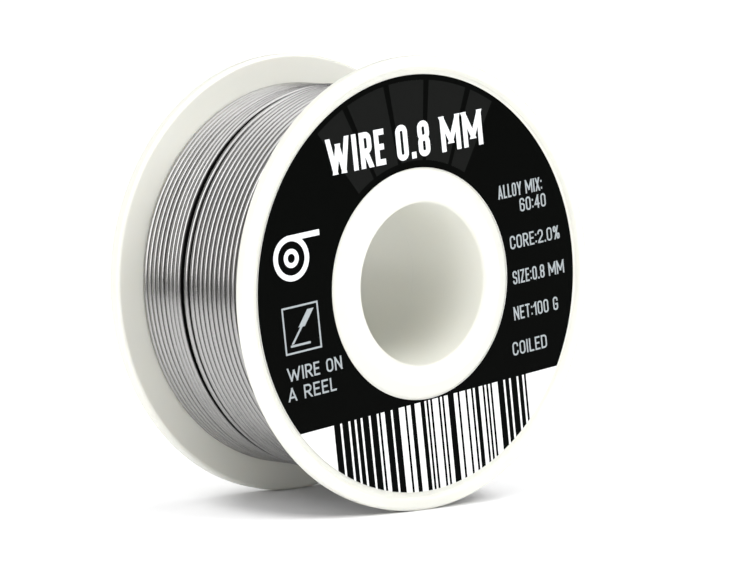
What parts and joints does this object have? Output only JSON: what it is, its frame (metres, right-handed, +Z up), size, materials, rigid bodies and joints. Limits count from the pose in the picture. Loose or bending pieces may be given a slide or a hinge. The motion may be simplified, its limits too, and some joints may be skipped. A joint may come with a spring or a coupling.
{
  "type": "solder wire spool",
  "caption": "Flanged plastic spool in two press-fitted halves, wound with thin solder wire in layers, with a round printed label in the front flange and a through bore.",
  "frame": {"origin": "on the ground under the middle of the spool, which stands on the rims of its two flanges", "axes": "+Y along the spool's axis, from the labelled flange to the plain one; -Y out of the labelled face; +Z up"},
  "size_m": [0.056, 0.0274, 0.056],
  "materials": {
    "white_plastic": "moulded, satin to gloss",
    "label_paper": "coated paper, semi-gloss",
    "solder_wire": "bright drawn tin-lead alloy"
  },
  "bodies": {
    "root": {"front_half": "white_plastic", "rear_half": "white_plastic", "front_label": "label_paper", "winding_inner": "solder_wire", "winding_top_front": "solder_wire", "winding_top_rear": "solder_wire"}
  },
  "joints": []
}
